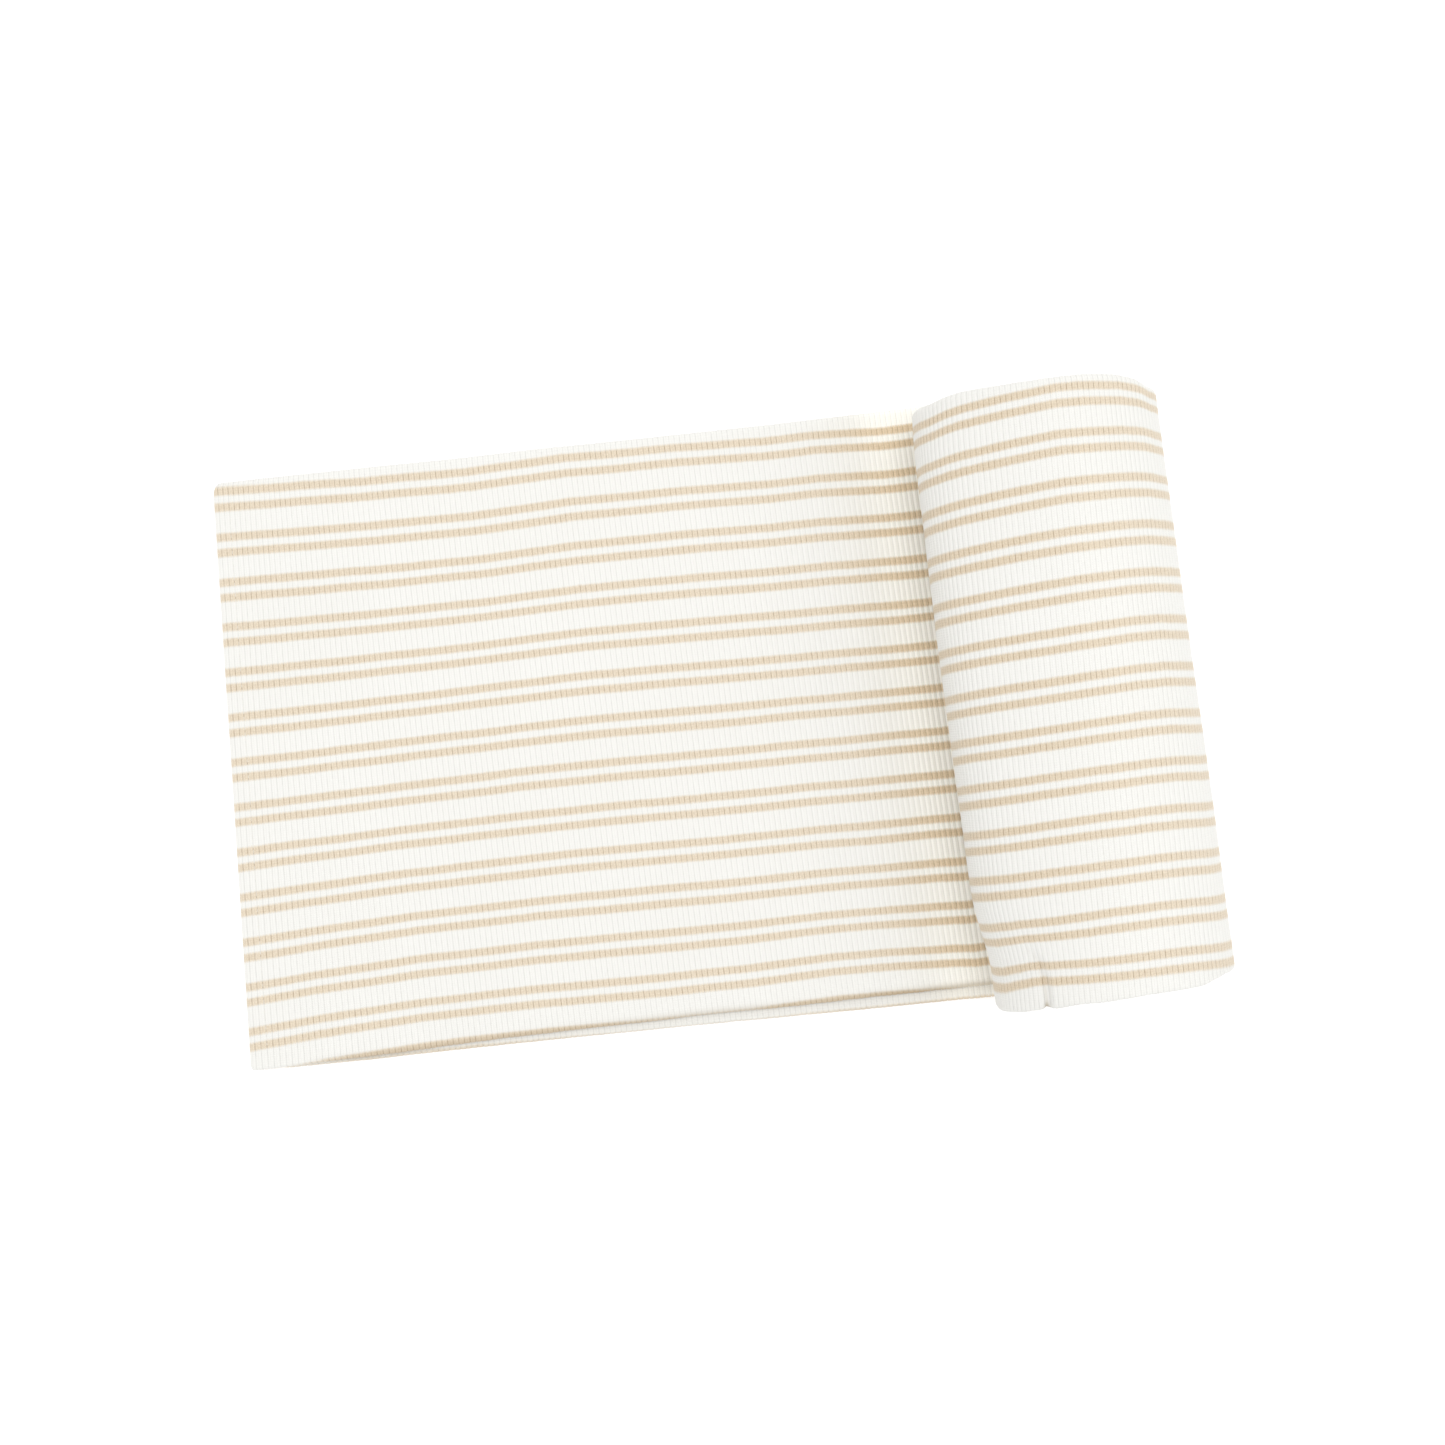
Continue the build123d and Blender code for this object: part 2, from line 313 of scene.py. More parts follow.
def panel_steps():
    """Distances across a panel from its near fold, closer together by the folds, as shares of the width."""
    near = [0, 1.2, 2.4, 4, 6, 8, 10.5, 13, 16, 19, 22.5, 26, 30, 34, 38, 42, 46, 50, 55]
    rest = list(np.linspace(62, 272, 22))
    last = [275.5, 278.5, 280.4, 281.05]
    return np.array(near + rest + last) / last[-1]


def arc(first, last, count):
    """Cosines and sines at even steps from one angle to another in degrees, without the two ends."""
    angles = np.radians(np.linspace(first, last, count)[1:-1])
    return [(math.cos(a), math.sin(a)) for a in angles]


def section_rows():
    """Rows across the whole cloth, from the bottom flap's free edge round to the top flap's.

    Each row is shares of the far, lower near and upper near edges, a Y offset, a height, and the normal's
    Y and height parts, for the face that is outermost.
    """
    inset = (PITCH_H + 1.5 * MM) / 2
    fold = PITCH_H / 2
    free = HALF + FLAP_SHORT
    rows = []
    for t in np.linspace(0, 1, 7):
        rows.append((1 - t, t, 0, -free * (1 - t) + inset * t, -PITCH_H / 2, 0, 1))
    for c, s in arc(90, 270, 9):
        rows.append((0, 1, 0, inset + fold * c, -PITCH_H + fold * s, c, s))
    for t in panel_steps():
        rows.append((t, 1 - t, 0, inset * (1 - t) - HALF * t, -1.5 * PITCH_H, 0, -1))
    radius = 1.5 * PITCH_H
    for c, s in arc(-90, 90, 13):
        rows.append((1, 0, 0, -HALF + radius * c, radius * s, c, s))
    for t in panel_steps()[::-1]:
        rows.append((t, 0, 1 - t, inset * (1 - t) - HALF * t, 1.5 * PITCH_H, 0, 1))
    for c, s in arc(90, 270, 9):
        rows.append((0, 0, 1, inset + fold * c, PITCH_H + fold * s, c, s))
    for t in np.linspace(1, 0, 7):
        rows.append((1 - t, 0, t, -free * (1 - t) + inset * t, PITCH_H / 2, 0, -1))
    return np.array(rows)


ROWS = section_rows()
FAR_ROW = int(np.argmax(ROWS[:, 5]))
LOW_FOLD_ROW = int(np.argmin(ROWS[:FAR_ROW, 5]))
UP_FOLD_ROW = FAR_ROW + int(np.argmin(ROWS[FAR_ROW:, 5]))
PROFILE_AT = [0.0, 0.10, 0.28, 0.5, 0.72, 0.90, 1.0]
PROFILE = [0.0, 0.80, 0.97, 1.0, 0.97, 0.80, 0.0]


def rib_columns(first, last, fractions):
    """Places along the strip, in ribs, for a mesh from the crown of one rib to the crown of another."""
    places = [first + 0.5]
    for rib in range(first, last + 1):
        for part in fractions:
            if first + 0.5 < rib + part < last + 0.5:
                places.append(rib + part)
    places.append(last + 0.5)
    return np.array(places)


# How far the stripes stray towards the near side, in millimetres, on six lines along the strip
STRAY_U = [
    0, 0.033, 0.082, 0.131, 0.180, 0.278, 0.302, 0.345, 0.40,
    0.487, 0.498, 0.507, 0.515, 0.529, 0.552, 0.574, 0.588, 0.603, 0.619,
]
STRAY = {
    0.130: [0.2, 0.6, 1.3, 1.0, -1.1, 0.5, -0.5, 0.5, 0, 0, 0, 0, 0, -0.1, -0.7, 0.8, 2.2, 3.6, 4.4],
    0: [0, 0, -0.2, 0, -0.2, 0.5, 1.2, 2.0, 1.0, 2.2, 1.7, 1.1, 0.4, 0.4, 1.8, 3.2, 4.2, 5.3, 6.5],
    -0.066: [-0.6, -0.8, -0.6, 0.1, 0.1, 0.5, 1.4, 2.2, 0, 2.6, 2.0, 1.2, 0.5, 0, 0.4, 1.7, 2.9, 4.0, 5.2],
    -0.085: [-0.75, -1.1, -0.8, 0, 0.2, 0.6, 1.5, 2.8, 0, 2.6, 2.0, 1.2, 0.5, 0, 0.5, 1.65, 2.7, 3.6, 5.0],
    -0.104: [-0.85, -1.5, -1.0, -0.1, 0.2, -0.2, 0.8, 3.2, 0, 2.6, 2.0, 1.2, 0.5, 0, 0.4, 2.1, 2.7, 4.2, 5.5],
    -0.125: [-0.9, -1.7, -1.1, -0.2, 0.2, -0.7, 0.4, 3.4, 0, 2.6, 2.0, 1.2, 0.5, 0, 0.3, 0.3, 0.4, 3.5, 4.6],
}


# Pairs of stripes across the underside of the tail
PAIRS_BELOW = 14.174


def stray(u, y):
    """The stripes' distance from evenly spaced lines, in metres towards the near side."""
    places = list(STRAY)
    lines = [table(u, STRAY_U, STRAY[at]) for at in places]
    total = lines[0]
    for index in range(1, len(places)):
        share = np.clip((places[index - 1] - y) / (places[index - 1] - places[index]), 0, 1)
        total = total + (lines[index] - lines[index - 1]) * share
    return total


def stripe_phase(u, y, x, signed, fold):
    """Which pair of stripes is nearest: whole numbers are at the middle of a pair.

    signed is the distance round the cloth from the far fold, and fold that of the lower near fold.
    """
    along = [0, 0.03, 0.08, 0.137, 0.235, 0.335, 0.45, CLOTH]
    period = table(u, along, [21.95, 21.7, 21.35, 21.17, 21.26, 20.95, 21.45, 21.45])
    first = table(u, along, [8.2, 9.2, 10.4, 11.2, 11.3, 13.9, 10.83, 10.83])
    in_roll = smooth(u, 0.345, 0.45)
    # On the underside of the tail, the stripes are spaced so that the right ones come round the near fold
    below = (np.abs(fold) - 1.0 * MM) / (PAIRS_BELOW - first / period) * (1 - in_roll) + 21.45 * MM * in_roll
    drift = 0.42 * MM * waves(u, y, 41, 0.06, 0.18) + 0.12 * MM * waves(u, y, 42, 0.02, 0.05)
    # The last pair turns under at the roll's near end, except in the pinch
    turned_under = 1.6 * MM * in_roll * (1 - smooth(y, ROLL_NEAR_Y + 2 * MM, ROLL_NEAR_Y + 12 * MM))
    turned_under = turned_under * (1 - np.exp(-((x - PINCH_X) / (3 * MM)) ** 2))
    nearer = stray(u, y) * np.where(signed > 0, 1, in_roll) + turned_under
    return -first / period + (signed + drift - np.sign(signed) * nearer) / np.where(signed > 0, period, below)


def painted_fold_shade(u, y, path, up):
    """Painted shade beside the near folds of the tail, where the cloth tucks in under them, 0 to 1."""
    beside_upper = np.exp(-((path - path[UP_FOLD_ROW:UP_FOLD_ROW + 1]) / (2.1 * MM)) ** 2)
    beyond_upper = np.exp(-(np.maximum(up[None, :] - y, 0) / (0.9 * MM)) ** 2)
    beside_lower = 0.40 * np.exp(-((path - path[LOW_FOLD_ROW:LOW_FOLD_ROW + 1]) / (1.1 * MM)) ** 2)
    row = np.arange(len(ROWS))[:, None]
    crease_shade = np.where(row > FAR_ROW, beside_upper, np.where(row < LOW_FOLD_ROW, beyond_upper, 0))
    strength = smooth(u, 15 * MM, 60 * MM) * (0.62 + 0.38 * smooth(u, 0.27, 0.325))
    strength = strength * (1 - smooth(u, 0.35, 0.38))
    return strength * np.maximum(crease_shade, beside_lower)


def rounded_end(distance):
    """The cloth's share of its thickness at this distance from a cut end."""
    nose = np.clip(1 - distance / (0.8 * MM), 0, 1)
    return np.sqrt(np.clip(1 - 0.96 * nose ** 2, 0, 1))


def new_piece(name, mesh):
    """An object with this mesh, linked to the scene."""
    piece = bpy.data.objects.new(name, mesh)
    bpy.context.scene.collection.objects.link(piece)
    return piece


def make_cloth(name, columns, first_end=False, last_end=False):
    """Mesh of the cloth between two places along the strip, both faces and all rims closed."""
    along = rib_at(columns)
    far, low, up = edges(along)
    shares = ROWS[:, 0:3]
    y = shares @ np.array([far, low, up]) + ROWS[:, 3:4]
    h = np.repeat(ROWS[:, 4:5], len(columns), axis=1)
    u = np.repeat(along[None, :], len(ROWS), axis=0)
    ny, nh = ROWS[:, 5:6], ROWS[:, 6:7]
    # Each ply's end lies a little differently at the tail's end, and the top one rolls over
    if first_end:
        level_changes = np.abs(np.diff(ROWS[:, 4], prepend=ROWS[0, 4])) > 0
        ply = np.repeat(np.cumsum(level_changes)[:, None], len(columns), axis=1)
        offset = 0.8 * MM + 0.7 * MM * waves(y, ply * 0.02, 51, 0.03, 0.15)
        fade = np.exp(-u / (12 * MM))
        top = smooth(h, 2.0 * MM, 2.4 * MM)
        u = u + fade * offset * (1 - top)
        h = h - top * 0.9 * MM * np.clip(1 - u / (3.2 * MM), 0, 1) ** 2
    frac = columns - np.floor(columns)
    rib = np.interp(frac, PROFILE_AT, PROFILE)
    half = HALF_PLY - GROOVE * (1 - rib)
    if first_end:
        half = np.where(along < 1.6 * MM, HALF_PLY, half) * rounded_end(along)
    if last_end:
        half = half * rounded_end(CLOTH - along)
    half = np.repeat(half[None, :], len(ROWS), axis=0)
    steps = np.hypot(np.diff(y, axis=0), np.diff(h, axis=0))
    path = np.concatenate([np.zeros((1, len(columns))), np.cumsum(steps, axis=0)])
    signed = path - path[FAR_ROW:FAR_ROW + 1]
    # Stripes run straight past the rounded corner, and follow the far fold where it draws in elsewhere
    corner_part = corner(along, FAR_CORNER)[None, :]
    other_part = far_reference(along)[None, :] - far[None, :] - corner_part
    signed = signed + np.sign(signed) * corner_part * smooth(np.abs(signed), 0, 3.7 * MM)
    signed = signed + np.sign(signed) * other_part * (1 - np.exp(-np.abs(signed) / (25 * MM)))
    fold = signed[LOW_FOLD_ROW:LOW_FOLD_ROW + 1]
    # Painted shade beside the near folds
    crease_shade = painted_fold_shade(u, y, path, up)
    rim_y = 0.45 * MM
    ring_y = np.concatenate([y + ny * half, y[-1:] + rim_y, (y - ny * half)[::-1], y[:1] + rim_y])
    ring_h = np.concatenate([h + nh * half, h[-1:], (h - nh * half)[::-1], h[:1]])
    ring_u = np.concatenate([u, u[-1:], u[::-1], u[:1]])
    ring_s = np.concatenate([signed, signed[-1:], signed[::-1], signed[:1]])
    ring_y0 = np.concatenate([y, y[-1:], y[::-1], y[:1]])
    ring_painted_shade = np.concatenate([crease_shade, crease_shade[-1:], crease_shade[::-1], crease_shade[:1]])
    px, py, pz = place(ring_u, ring_y, ring_h)
    # A notch where the roll's near end is pinched, and painted shade in the notch and along the crease above
    # it
    outer_turn = outer_part(np.interp(ring_u, LINE, LINE_TURN))
    near_end = 1 - smooth(ring_y, ROLL_NEAR_Y, ROLL_NEAR_Y + 14 * MM)
    py = py + outer_turn * near_end * 1.0 * MM * np.exp(-((px - PINCH_X) / (1.5 * MM)) ** 2)
    crease, share = distance_to_path(px, ring_y, PINCH_PATH)
    ring_painted_shade = ring_painted_shade + outer_turn * 0.30 * np.exp(-(crease / (0.9 * MM)) ** 2) * (1 - share)
    from_notch_y = ring_y - ROLL_NEAR_Y - 1.5 * MM
    at_notch = np.exp(-((px - PINCH_X) / (1.3 * MM)) ** 2 - (from_notch_y / (2.2 * MM)) ** 2)
    ring_painted_shade = ring_painted_shade + outer_turn * 0.9 * at_notch
    count, size = len(columns), len(ring_u)
    points = np.stack([px, py, pz], axis=-1).reshape(-1, 3)
    index = np.arange(size * count).reshape(size, count)
    nxt = np.roll(index, -1, axis=0)
    quads = np.stack([index[:, :-1], index[:, 1:], nxt[:, 1:], nxt[:, :-1]], axis=-1).reshape(-1, 4)
    rows = len(ROWS)
    caps = []
    back = index[rows + 1:2 * rows + 1][::-1]
    for column, flip in ((0, False), (count - 1, True)):
        a, b = index[:rows, column], back[:, column]
        cap = np.stack([a[:-1], a[1:], b[1:], b[:-1]], axis=-1)
        caps.append(cap[:, ::-1] if flip else cap)
    quads = np.concatenate([quads] + caps)
    triangles = []
    for column, flip in ((0, False), (count - 1, True)):
        for tri in ((index[rows - 1, column], index[rows, column], back[rows - 1, column]),
                    (index[2 * rows + 1, column], index[0, column], back[0, column])):
            triangles.append(tri[::-1] if flip else tri)
    mesh = bpy.data.meshes.new(name)
    mesh.vertices.add(len(points))
    mesh.vertices.foreach_set("co", points.ravel())
    loops = np.concatenate([quads.ravel(), np.array(triangles).ravel()])
    starts = np.concatenate([np.arange(len(quads)) * 4, len(quads) * 4 + np.arange(len(triangles)) * 3])
    mesh.loops.add(len(loops))
    mesh.loops.foreach_set("vertex_index", loops.astype(np.int32))
    mesh.polygons.add(len(starts))
    mesh.polygons.foreach_set("loop_start", starts.astype(np.int32))
    mesh.update(calc_edges=True)
    mesh.validate()
    values = {
        "rib": np.repeat(columns[None, :], size, axis=0) + 0 * ring_u,
        "stripe": stripe_phase(ring_u, ring_y0, px, ring_s, fold),
        "course": ring_s / MM,
        "along": ring_u,
        "crease_shade": np.clip(ring_painted_shade, 0, 1),
    }
    for label, value in values.items():
        attribute = mesh.attributes.new(label, "FLOAT", "POINT")
        attribute.data.foreach_set("value", value.astype(np.float32).ravel())
    mesh.shade_smooth()
    # The pieces meet at their ends, so the shading doesn't turn round those edges
    ends = set(index[:, 0].tolist()) if not first_end else set()
    if not last_end:
        ends |= set(index[:, -1].tolist())
    vertex_ends = np.zeros(len(points), dtype=bool)
    vertex_ends[list(ends)] = True
    pairs = np.empty(len(mesh.edges) * 2, dtype=np.int32)
    mesh.edges.foreach_get("vertices", pairs)
    pairs = pairs.reshape(-1, 2)
    sharp = vertex_ends[pairs[:, 0]] & vertex_ends[pairs[:, 1]]
    attribute = mesh.attributes.new("sharp_edge", "BOOLEAN", "EDGE")
    attribute.data.foreach_set("value", sharp)
    return new_piece(name, mesh)


def rib_near(u):
    """Number of the rib whose crown is nearest to this place along the strip."""
    return int(round(np.interp(u, RIB_PLACES, np.arange(RIBS + 1)) - 0.5))


class Nodes:
    """A short way to write a material's nodes."""

    def __init__(self, name):
        self.material = bpy.data.materials.new(name)
        self.material.use_nodes = True
        self.tree = self.material.node_tree
        self.shader = self.tree.nodes["Principled BSDF"]

    def put(self, socket, value):
        if hasattr(value, "is_linked"):
            self.tree.links.new(value, socket)
        else:
            socket.default_value = value

    def math(self, operation, a, b=0.0, c=0.0):
        node = self.tree.nodes.new("ShaderNodeMath")
        node.operation = operation
        for socket, value in zip(node.inputs, (a, b, c)):
            self.put(socket, value)
        return node.outputs[0]

    def step(self, value, low, high):
        node = self.tree.nodes.new("ShaderNodeMapRange")
        node.interpolation_type = "SMOOTHSTEP"
        self.put(node.inputs["Value"], value)
        node.inputs["From Min"].default_value = low
        node.inputs["From Max"].default_value = high
        return node.outputs[0]

    def mix(self, share, a, b, blend="MIX"):
        node = self.tree.nodes.new("ShaderNodeMix")
        node.data_type = "RGBA"
        node.blend_type = blend
        self.put(node.inputs[0], share)
        self.put(node.inputs[6], a)
        self.put(node.inputs[7], b)
        return node.outputs[2]

    def attribute(self, name):
        node = self.tree.nodes.new("ShaderNodeAttribute")
        node.attribute_name = name
        return node.outputs["Fac"]

    def coordinates(self):
        return self.tree.nodes.new("ShaderNodeTexCoord").outputs["Object"]

    def noise(self, scale, detail=2.0, rough=0.5):
        node = self.tree.nodes.new("ShaderNodeTexNoise")
        node.inputs["Scale"].default_value = scale
        node.inputs["Detail"].default_value = detail
        node.inputs["Roughness"].default_value = rough
        self.put(node.inputs["Vector"], self.coordinates())
        return node.outputs["Fac"]

    def wave(self, scale, distortion):
        node = self.tree.nodes.new("ShaderNodeTexWave")
        node.inputs["Scale"].default_value = scale
        node.inputs["Distortion"].default_value = distortion
        self.put(node.inputs["Vector"], self.coordinates())
        return node.outputs["Fac"]

    def grey(self, value):
        node = self.tree.nodes.new("ShaderNodeCombineXYZ")
        for socket in node.inputs:
            self.put(socket, value)
        return node.outputs[0]

    def bump(self, height, distance, strength=1.0, normal=None):
        node = self.tree.nodes.new("ShaderNodeBump")
        node.inputs["Strength"].default_value = strength
        node.inputs["Distance"].default_value = distance
        self.put(node.inputs["Height"], height)
        if normal is not None:
            self.put(node.inputs["Normal"], normal)
        return node.outputs[0]


def knit_material():
    """Rib knit: pairs of tan stripes, stitches in columns, and grooves between the ribs, with painted shade
    in the grooves, between the stitches, by the folds and by the roll.
    """
    n = Nodes("rib_knit")
    rib = n.attribute("rib")
    stripe = n.attribute("stripe")
    course = n.attribute("course")
    along = n.attribute("along")
    crease_shade = n.attribute("crease_shade")
    # Two columns of stitches to a rib; each stitch is a V, whose arms rise from the column's middle
    column = n.math("FRACT", n.math("MULTIPLY", rib, 2.0))
    from_middle = n.math("ABSOLUTE", n.math("MULTIPLY_ADD", column, 2.0, -1.0))
    rows = n.math("DIVIDE", course, STITCH_HEIGHT)
    v_row = n.math("FRACT", n.math("ADD", rows, n.math("MULTIPLY", from_middle, 0.55)))
    from_stitch = n.math("ABSOLUTE", n.math("MULTIPLY_ADD", v_row, 2.0, -1.0))
    v_shape = n.math("SUBTRACT", 1.0, n.math("POWER", from_stitch, 2.5))
    arm = n.math("SUBTRACT", 1.0, n.math("POWER", from_middle, 3.0))
    yarn = n.math("MULTIPLY", v_shape, n.math("MULTIPLY_ADD", arm, 0.7, 0.3))
    # Groove between ribs, and the line between a rib's two columns; both get painted shade below
    part = n.math("FRACT", n.math("ADD", rib, 0.5))
    from_groove = n.math("MULTIPLY", n.math("ABSOLUTE", n.math("SUBTRACT", part, 0.5)), 2.0)
    groove = n.math("SUBTRACT", 1.0, n.step(from_groove, 0.02, 0.26))
    half_rib = n.math("ABSOLUTE", n.math("MULTIPLY_ADD", n.math("FRACT", rib), 2.0, -1.0))
    between = n.math("SUBTRACT", 1.0, n.step(half_rib, 0.02, 0.22))
    # Stripes
    uneven = n.math("MULTIPLY_ADD", n.noise(260, 2.0), 0.5, -0.25)
    jag = n.math("ADD", n.math("MULTIPLY_ADD", from_middle, 0.45, -0.22), uneven)
    offset = n.math("SUBTRACT", n.math("FRACT", n.math("ADD", stripe, 0.5)), 0.5)
    away = n.math("ABSOLUTE", n.math("MULTIPLY", offset, PAIR_PITCH))
    from_stripe = n.math("ABSOLUTE", n.math("SUBTRACT", away, STRIPE_HALF_GAP))
    low, high = STRIPE_HALF_WIDTH - STRIPE_SOFT_EDGE, STRIPE_HALF_WIDTH + STRIPE_SOFT_EDGE
    tan = n.math("SUBTRACT", 1.0, n.step(n.math("ADD", from_stripe, jag), low, high))
    # Colours
    cloudy = n.noise(14, 3.0)
    white = n.mix(cloudy, (0.735, 0.728, 0.695, 1), (0.765, 0.760, 0.733, 1))
    heather = n.noise(1500, 2.0, rough=0.7)
    tan_colour = n.mix(heather, (0.522, 0.425, 0.300, 1), (0.804, 0.728, 0.604, 1))
    # Towards the roll, and on its left side, the cloth is stretched less; its stripes are made deeper there,
    # partly for the less stretched knit and partly as painted shade, and beside the roll the white gets a
    # warm tint of painted light reflected from the roll
    before_roll = n.math("SUBTRACT", 1.0, n.step(along, 0.40, 0.50))
    by_roll_painted_shade = n.math("MULTIPLY", n.step(along, 0.292, 0.348), before_roll)
    deeper_and_painted_shade = n.math("MAXIMUM", by_roll_painted_shade, n.math("MULTIPLY", n.step(along, 0.52, 0.60), 0.38))
    tan_colour = n.mix(deeper_and_painted_shade, tan_colour, n.mix(1.0, tan_colour, (0.86, 0.79, 0.68, 1), "MULTIPLY"))
    white = n.mix(by_roll_painted_shade, white, n.mix(1.0, white, (1.0, 0.985, 0.945, 1), "MULTIPLY"))
    colour = n.mix(tan, white, tan_colour)
    # Painted light on the tail just beside the roll, where the roll's shadow falls, with a little painted
    # shade just before it; painted shade on the roll's left flank
    painted_light_by_roll = n.math("MULTIPLY_ADD", n.step(along, 0.318, 0.343), 0.22, 1.0)
    painted_light_by_roll = n.math("MULTIPLY_ADD", n.step(along, 0.26, 0.30), -0.012, painted_light_by_roll)
    painted_shade_on_roll = n.math("MULTIPLY_ADD", n.step(along, 0.53, 0.585), -0.045, 1.0)
    level = n.mix(n.step(along, 0.40, 0.45), n.grey(painted_light_by_roll), n.grey(painted_shade_on_roll))
    colour = n.mix(1.0, colour, level, "MULTIPLY")
    # Painted shade beside the near folds, along the roll's crease and in its notch
    colour = n.mix(crease_shade, colour, n.mix(1.0, colour, (0.58, 0.51, 0.41, 1), "MULTIPLY"))
    # Painted shade in the gaps between the yarn, on the line between a rib's two columns and in the grooves
    # between the ribs
    yarn_gap_shade = n.math("MULTIPLY", n.math("SUBTRACT", 1.0, yarn), 0.14)
    colour = n.mix(yarn_gap_shade, colour, n.mix(tan, (0.62, 0.60, 0.55, 1), (0.42, 0.31, 0.20, 1)))
    between_shade_colour = n.mix(tan, (0.58, 0.57, 0.53, 1), (0.36, 0.26, 0.16, 1))
    colour = n.mix(n.math("MULTIPLY", between, 0.08), colour, between_shade_colour)
    strength = n.math("MULTIPLY_ADD", n.step(n.noise(300, 1.0), 0.32, 0.68), 0.60, 0.70)
    strength = n.math("MULTIPLY", strength, n.math("MULTIPLY_ADD", by_roll_painted_shade, -0.15, 1.0))
    strength = n.math("MULTIPLY", strength, n.math("MULTIPLY_ADD", tan, 0.20, 0.25))
    groove_shade_colour = n.mix(tan, (0.46, 0.46, 0.43, 1), (0.25, 0.16, 0.09, 1))
    colour = n.mix(n.math("MULTIPLY", groove, strength), colour, groove_shade_colour)
    n.put(n.shader.inputs["Base Color"], colour)
    fuzz = n.noise(2600, 3.0, rough=0.7)
    rough = n.math("MULTIPLY_ADD", fuzz, 0.12, 0.82)
    n.put(n.shader.inputs["Roughness"], rough)
    n.shader.inputs["Sheen Weight"].default_value = 0.25
    n.shader.inputs["Sheen Roughness"].default_value = 0.5
    n.shader.inputs["Specular IOR Level"].default_value = 0.2
    stitch = n.math("SUBTRACT", yarn, n.math("MULTIPLY", between, 0.6))
    normal = n.bump(stitch, 0.14 * MM, 0.8)
    normal = n.bump(fuzz, 0.05 * MM, 0.5, normal)
    n.put(n.shader.inputs["Normal"], normal)
    return n.material


def thread_material():
    """Sewing thread: two fine strands, twisted."""
    n = Nodes("sewing_thread")
    shade = n.wave(900, 1.5)
    colour = n.mix(shade, (0.66, 0.64, 0.58, 1), (0.76, 0.75, 0.70, 1))
    n.put(n.shader.inputs["Base Color"], colour)
    n.put(n.shader.inputs["Roughness"], n.math("MULTIPLY_ADD", n.noise(1800), 0.15, 0.55))
    n.put(n.shader.inputs["Normal"], n.bump(shade, 0.04 * MM, 0.6))
    return n.material


def label_material():
    """Blank woven satin."""
    n = Nodes("label_satin")
    shade = n.wave(1500, 0.6)
    colour = n.mix(shade, (0.74, 0.74, 0.72, 1), (0.84, 0.84, 0.83, 1))
    n.put(n.shader.inputs["Base Color"], colour)
    n.put(n.shader.inputs["Roughness"], n.math("MULTIPLY_ADD", n.noise(1200), 0.2, 0.35))
    n.put(n.shader.inputs["Normal"], n.bump(shade, 0.03 * MM, 0.5))
    return n.material


def floor_material():
    """Plain, very pale floor."""
    n = Nodes("pale_floor")
    colour = n.mix(n.noise(3.0), (0.925, 0.925, 0.925, 1), (0.94, 0.94, 0.94, 1))
    n.put(n.shader.inputs["Base Color"], colour)
    n.shader.inputs["Roughness"].default_value = 0.9
    n.shader.inputs["Emission Color"].default_value = (1, 1, 1, 1)
    n.shader.inputs["Emission Strength"].default_value = 0.12
    return n.material


KNIT = knit_material()
THREAD = thread_material()
LABEL = label_material()

# Cloth pieces, each from the crown of one rib to the crown of another
FINE = [0.0, 0.10, 0.28, 0.5, 0.72, 0.90]
COARSE = [0.0, 0.25, 0.5, 0.75]
CUT_SHIFT = 22.5 * MM
cut_a = rib_near((HINGES[1] + HINGES[2]) / 2 - CUT_SHIFT - TAIL_END_X)
cut_b = rib_near((HINGES[0] + HINGES[1]) / 2 - CUT_SHIFT - TAIL_END_X)
cut_c = rib_near(0.389)
cut_d = rib_near(0.560)
cut_e = rib_near(0.735)
ends = [float(rib_at(cut + 0.5)) for cut in (cut_a, cut_b, cut_c, cut_d, cut_e)]

end_columns = rib_columns(0, cut_a, FINE)
end_columns = np.concatenate([[0.0, 0.02, 0.06, 0.13, 0.22, 0.34], end_columns])
inner_columns = rib_columns(cut_e, RIBS - 1, COARSE)
inner_columns = np.concatenate([inner_columns, [RIBS - 0.25, RIBS - 0.1, RIBS - 0.03, RIBS]])
pieces = {
    "wrap_tail_end": make_cloth("wrap_tail_end", end_columns, first_end=True),
    "wrap_tail_middle": make_cloth("wrap_tail_middle", rib_columns(cut_a, cut_b, FINE)),
    "wrap_tail_root": make_cloth("wrap_tail_root", rib_columns(cut_b, cut_c, FINE)),
    "wrap_roll_side": make_cloth("wrap_roll_side", rib_columns(cut_c, cut_d, FINE)),
    "wrap_roll_top": make_cloth("wrap_roll_top", rib_columns(cut_d, cut_e, FINE)),
    "wrap_roll_inside": make_cloth("wrap_roll_inside", inner_columns, last_end=True),
}
PLIES = ["bottom_panel", "bottom_flap", "top_flap", "top_panel"]
stands_for = {
    "wrap_tail_end": [f"tail_end_{ply}" for ply in PLIES],
    "wrap_tail_middle": [f"tail_middle_{ply}" for ply in PLIES],
    "wrap_tail_root": [f"tail_root_{ply}" for ply in PLIES] + [f"base_{ply}" for ply in PLIES],
    "wrap_roll_side": ["roll_bottom_panel"],
    "wrap_roll_top": ["roll_bottom_flap"],
    "wrap_roll_inside": ["roll_top_flap", "roll_top_panel"],
}
for name, piece in pieces.items():
    piece.data.materials.append(KNIT)
    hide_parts(*stands_for[name])


def bend(piece):
    """Bakes a piece's transform into its mesh."""
    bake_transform(piece)


bend(pieces["wrap_tail_root"])
bend(pieces["wrap_tail_middle"])
bend(pieces["wrap_tail_end"])
for name in ("wrap_roll_side", "wrap_roll_top", "wrap_roll_inside"):
    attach(pieces[name], "roll")


